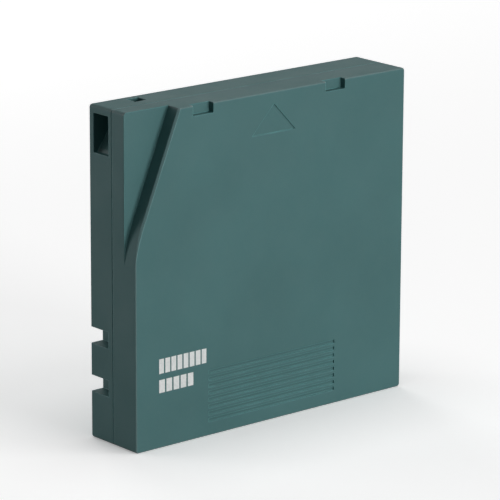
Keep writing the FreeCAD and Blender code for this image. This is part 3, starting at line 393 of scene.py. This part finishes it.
def from_reel_axis(tree):
    """The distance from the reel's axis in millimetres."""
    across, depth, height = split(tree, own_place(tree))
    rise = work_out(tree, "SUBTRACT", height, REEL_AXIS_HEIGHT)
    squares = work_out(tree, "ADD", work_out(tree, "POWER", across, 2.0), work_out(tree, "POWER", rise, 2.0))
    return work_out(tree, "SQRT", squares)


def along_depth(tree):
    """The Y coordinate in millimetres."""
    return split(tree, own_place(tree))["Y"]


def along_height(tree):
    """The Z coordinate in millimetres."""
    return split(tree, own_place(tree))["Z"]


def wound_tape(name):
    """Tape: uneven layers where its edges show, and plain glossy faces."""
    material, tree, shader = start_material(name, IOR=1.6)
    lined = use(tree, FINE_LINES, {"Along": from_reel_axis(tree), "Line width": 0.05})
    facing = work_out(tree, "ABSOLUTE", split(tree, own_normal(tree))["Y"])
    edge_on = ramp(tree, facing, 0.4, 0.8)
    lines = times(tree, lined["Lines"], edge_on)
    bands = times(tree, lined["Bands"], edge_on)
    shade = blend(tree, bands, (0.018, 0.014, 0.012, 1.0), (0.04, 0.031, 0.026, 1.0))
    shade = blend(tree, times(tree, lines, 0.3), shade, (0.07, 0.056, 0.05, 1.0))
    handled = use(tree, HANDLING, {"Smudge size": 9.0, "Dust": 0.03})
    shade = blend(tree, handled["Dust"], shade, DUST_ON_TAPE)
    connect(tree, shader, shade, ramp(tree, lines, 0.0, 1.0, 0.2, 0.38), bump(tree, lines, 0.006 * MM))
    return material


def coated_laminate(name):
    """A green circuit board: glass weave under a glossy coating, and bare edges."""
    material, tree, shader = start_material(name, IOR=1.5)
    place = own_place(tree)
    weave = put(tree, "TexWave", {"Vector": place, "Scale": 1.6, "Distortion": 0.6, "Detail": 1.0},
                bands_direction="DIAGONAL").outputs[1]
    woven = ramp(tree, weave, 0.2, 0.8)
    shade = blend(tree, woven, (0.012, 0.1, 0.035, 1.0), (0.02, 0.15, 0.055, 1.0))
    edge = use(tree, SOFT_EDGE, {"Radius": 0.1, "Patch size": 1.5})
    shade = blend(tree, edge["Rubbed and highlight"], shade, (0.4, 0.36, 0.2, 1.0))
    rough = patches(tree, place, 2.0, 0.3, 0.7, 0.22, 0.34, detail=2.0)
    connect(tree, shader, shade, rough, bump(tree, weave, 0.004 * MM, Normal=edge["Normal"]))
    return material


# Two rows of plain blocks of ink where the upper shell has its print
PRINT_ROWS = [
    {"Left": -44.0, "Right": -26.0, "Low": 23.0, "High": 27.5, "Pitch": 2.32, "Gap": 0.5},
    {"Left": -44.0, "Right": -31.0, "Low": 17.1, "High": 21.1, "Pitch": 2.72, "Gap": 0.55},
]

FINISHES = {
    # rim: the share of the painted highlight on the shells' rounded rims
    "upper_shell": moulded_plastic("shell_plastic_printed", TEAL, 0.64, rim=0.2, rows=PRINT_ROWS),
    "lower_shell": moulded_plastic("shell_plastic", TEAL, 0.64, rim=0.2),
    "tape_door": moulded_plastic("door_plastic", TEAL, 0.42, grain=0.16, depth=0.006),
    "write_protect_switch": moulded_plastic("switch_plastic", (0.55, 0.54, 0.5), 0.4, grain=0.12, depth=0.004),
    "reel_hub": moulded_plastic("reel_plastic", PALE, 0.36, grain=0.15, depth=0.004, dust=0.05),
    "reel_brake": moulded_plastic("brake_plastic", PALE, 0.34, grain=0.12, depth=0.003, dust=0.04),
    "release_pad": moulded_plastic("pad_plastic", (0.56, 0.57, 0.56), 0.34, grain=0.12, depth=0.003,
                                   dust=0.04),
    "pin_clamp": moulded_plastic("clamp_plastic", DARK, 0.32, grain=0.1, depth=0.003, dust=0.04),
    "memory_chip": moulded_plastic("chip_resin", (0.03, 0.03, 0.03), 0.5, grain=0.1, depth=0.004,
                                   dust=0.05),
    "clutch_plate": bright_metal("clutch_steel", (0.4, 0.395, 0.385), 0.25, from_reel_axis, line_width=0.2),
    "leader_pin": bright_metal("pin_steel", (0.62, 0.62, 0.62), 0.2, along_depth, line_width=0.06),
    "pin_clip_lower": bright_metal("clip_steel", (0.5, 0.5, 0.5), 0.28, along_depth, line_width=0.05),
    "case_screws": bright_metal("screw_steel", (0.16, 0.16, 0.165), 0.34, along_height, line_width=0.09,
                                metallic=0.8),
    "memory_coil": bright_metal("coil_copper", (0.72, 0.4, 0.2), 0.32, along_height, line_width=0.07),
    "tape_pack": wound_tape("wound_tape"),
    "memory_board": coated_laminate("board_laminate"),
}
SAME_FINISH = {"reel_upper_flange": "reel_hub", "leader_tape": "tape_pack", "pin_clip_upper": "pin_clip_lower"}


def dress(node, material):
    """Gives a solid its material, in every slot it has."""
    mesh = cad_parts[node].data
    if not mesh.materials:
        mesh.materials.append(material)
    for number in range(len(mesh.materials)):
        mesh.materials[number] = material


for node, material in FINISHES.items():
    dress(node, material)
for node, other in SAME_FINISH.items():
    dress(node, FINISHES[other])


def add_object(name, data):
    """Puts a new object in the scene."""
    made = bpy.data.objects.new(name, data)
    bpy.context.scene.collection.objects.link(made)
    return made


# Springs of the door and the brake, laid as wire coils

def coil_rise(turn, turns, wire, length):
    """How high a coil's wire has risen after some turns: slowly in its closed end turns, fast between them."""
    closed_height = wire * CLOSED_TURNS
    if turn < CLOSED_TURNS:
        return wire * turn
    if turn > turns - CLOSED_TURNS:
        return length - wire - wire * (turns - turn)
    free = length - wire - 2 * closed_height
    return closed_height + free * (turn - CLOSED_TURNS) / (turns - 2 * CLOSED_TURNS)


def coil_mesh(name, radius, wire, turns, length, place):
    """Makes a wire coil along its own Z and puts it in place."""
    steps = int(turns * STEPS_PER_TURN)
    upward = Vector((0.0, 0.0, 1.0))
    verts, faces = [], []
    for i in range(steps + 1):
        turn = turns * i / steps
        angle = 2 * pi * turn
        outward = Vector((cos(angle), sin(angle), 0.0))
        centre = outward * radius + upward * (coil_rise(turn, turns, wire, length) + wire / 2)
        for k in range(WIRE_SIDES):
            around = 2 * pi * k / WIRE_SIDES
            spoke = outward * cos(around) + upward * sin(around)
            verts.append(place @ (centre + spoke * (wire / 2)))
    for i in range(steps):
        for k in range(WIRE_SIDES):
            a = i * WIRE_SIDES + k
            b = i * WIRE_SIDES + (k + 1) % WIRE_SIDES
            faces.append((a, b, b + WIRE_SIDES, a + WIRE_SIDES))
    faces.append(tuple(range(WIRE_SIDES - 1, -1, -1)))
    faces.append(tuple(steps * WIRE_SIDES + k for k in range(WIRE_SIDES)))
    mesh = bpy.data.meshes.new(name)
    mesh.from_pydata(verts, [], faces)
    for polygon in mesh.polygons:
        polygon.use_smooth = len(polygon.vertices) == 4
    return add_object(name, mesh)


def spring(name, node, axis, radius, wire, turns):
    """Lays a spring where its solid is, its coil rising from the solid's low end, and hides the solid."""
    low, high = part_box(node)
    along = max(range(3), key=lambda i: abs(axis[i]))
    length = high[along] - low[along]
    anchor = (low + high) / 2
    anchor[along] = low[along]
    turned = Matrix.Identity(4) if along == 2 else Matrix.Rotation(radians(-90), 4, "X")
    made = coil_mesh(name, radius, wire, turns, length, Matrix.Translation(anchor) @ turned)
    made.data.materials.append(SPRING_STEEL)
    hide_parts(node)
    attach(made, "case")
    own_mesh(made)


SPRING_STEEL = bright_metal("spring_steel", (0.5, 0.5, 0.5), 0.26, along_depth, line_width=0.05)
spring("door_spring_coil", "door_spring", (0, 0, 1),
       radius=1.3 * MM, wire=0.4 * MM, turns=20.0)
spring("brake_spring_coil", "brake_spring", (0, 1, 0),
       radius=8.5 * MM, wire=0.8 * MM, turns=4.5)


# Floor, light and camera

def mostly_seen(tree):
    """1 for rays that come from the camera, a mirror-like face or clear plastic, and 0 for the rest."""
    rays = put(tree, "LightPath").outputs
    seen = work_out(tree, "MAXIMUM", rays["Is Camera Ray"], rays["Is Glossy Ray"])
    return work_out(tree, "MAXIMUM", seen, rays["Is Transmission Ray"])


def pale_floor():
    """A plain pale floor that keeps the lamps' shadow, with a painted contact shadow near the cartridge, and
    fades to white far from the cartridge.
    """
    mesh = bpy.data.meshes.new("floor")
    corners = [(x * FLOOR_REACH, y * FLOOR_REACH, 0.0) for x, y in ((-1, -1), (1, -1), (1, 1), (-1, 1))]
    mesh.from_pydata(corners, [], [(0, 1, 2, 3)])
    floor = add_object("floor", mesh)
    material = bpy.data.materials.new("pale_floor")
    material.use_nodes = True
    tree = material.node_tree
    tree.nodes.clear()
    place = put(tree, "TexCoord").outputs["Object"]
    distance = put(tree, "VectorMath", {0: place}, operation="LENGTH").outputs["Value"]
    far = ramp(tree, distance, FADE_START, FADE_END, smooth=True)
    lit = put(tree, "BsdfDiffuse", {"Color": grey(FLOOR_GREY)})
    # Painted contact shadow: the floor's glow is dimmed where the cartridge is near.
    open_sky = put(tree, "AmbientOcclusion", {"Distance": CONTACT_REACH}, samples=16).outputs["AO"]
    strength = ramp(tree, open_sky, 0.35, 1.0, SHADED_GLOW * FLOOR_GLOW, FLOOR_GLOW)
    glow = put(tree, "Emission", {"Color": WHITE, "Strength": strength})
    near = put(tree, "AddShader", {0: lit.outputs[0], 1: glow.outputs[0]})
    white = put(tree, "Emission", {"Color": WHITE, "Strength": 1.0})
    shown = put(tree, "MixShader", {0: far, 1: near.outputs[0], 2: white.outputs[0]})
    bounce = put(tree, "BsdfDiffuse", {"Color": grey(BOUNCE_GREY)})
    surface = put(tree, "MixShader", {0: mostly_seen(tree), 1: bounce.outputs[0], 2: shown.outputs[0]})
    put(tree, "OutputMaterial", {"Surface": surface.outputs[0]})
    mesh.materials.append(material)


def soft_world():
    """A dim grey surround that looks white to the camera and in reflections."""
    world = bpy.data.worlds.new("surround")
    bpy.context.scene.world = world
    world.use_nodes = True
    tree = world.node_tree
    tree.nodes.clear()
    dim = put(tree, "Background", {"Color": WHITE, "Strength": SURROUND})
    white = put(tree, "Background", {"Color": WHITE, "Strength": 1.0})
    mixed = put(tree, "MixShader", {0: mostly_seen(tree), 1: dim.outputs[0], 2: white.outputs[0]})
    put(tree, "OutputWorld", {"Surface": mixed.outputs[0]})


def softbox(name, direction, level, glossy=True):
    """A square soft light; level is how bright it makes a white card that faces it."""
    light = bpy.data.lights.new(name, "AREA")
    light.shape = "SQUARE"
    light.size = LAMP_SIZE
    light.energy = level * pi * pi * LAMP_DISTANCE * LAMP_DISTANCE
    lamp = add_object(name, light)
    towards = Vector(direction).normalized()
    lamp.location = Vector(LAMP_AIM) + towards * LAMP_DISTANCE
    lamp.rotation_mode = "QUATERNION"
    lamp.rotation_quaternion = towards.to_track_quat("Z", "Y")
    lamp.visible_glossy = glossy


def stand_camera():
    """The camera, at the photograph's viewpoint, aimed at the cartridge's middle and drawn close."""
    data = bpy.data.cameras.new("camera")
    data.sensor_width = SENSOR_WIDTH
    data.lens = LENS
    data.clip_start, data.clip_end = CLIP_RANGE
    camera = add_object("camera", data)
    middle = (Vector(CAD_BOX[0]) + Vector(CAD_BOX[1])) / 2
    back = (Vector(VIEWPOINT) - middle).normalized()
    level = Vector((0.0, 0.0, 1.0)).cross(back).normalized()
    roll = radians(ROLL)
    upright = back.cross(level)
    right = level * cos(roll) + upright * sin(roll)
    up = upright * cos(roll) - level * sin(roll)
    turned = Matrix((right, up, back)).transposed().to_4x4()
    camera.matrix_world = Matrix.Translation(VIEWPOINT) @ turned
    bpy.context.scene.camera = camera


pale_floor()
soft_world()
softbox("key_light", (0.14, -0.98, 0.1), 0.75)
softbox("top_light", (0.4, -0.53, 0.75), 0.18)
softbox("back_light", (0.3, 0.95, 0.05), 0.72, glossy=False)
softbox("side_light", (-0.62, 0.76, 0.15), 0.2)
stand_camera()
bpy.context.scene.view_settings.view_transform = "Standard"
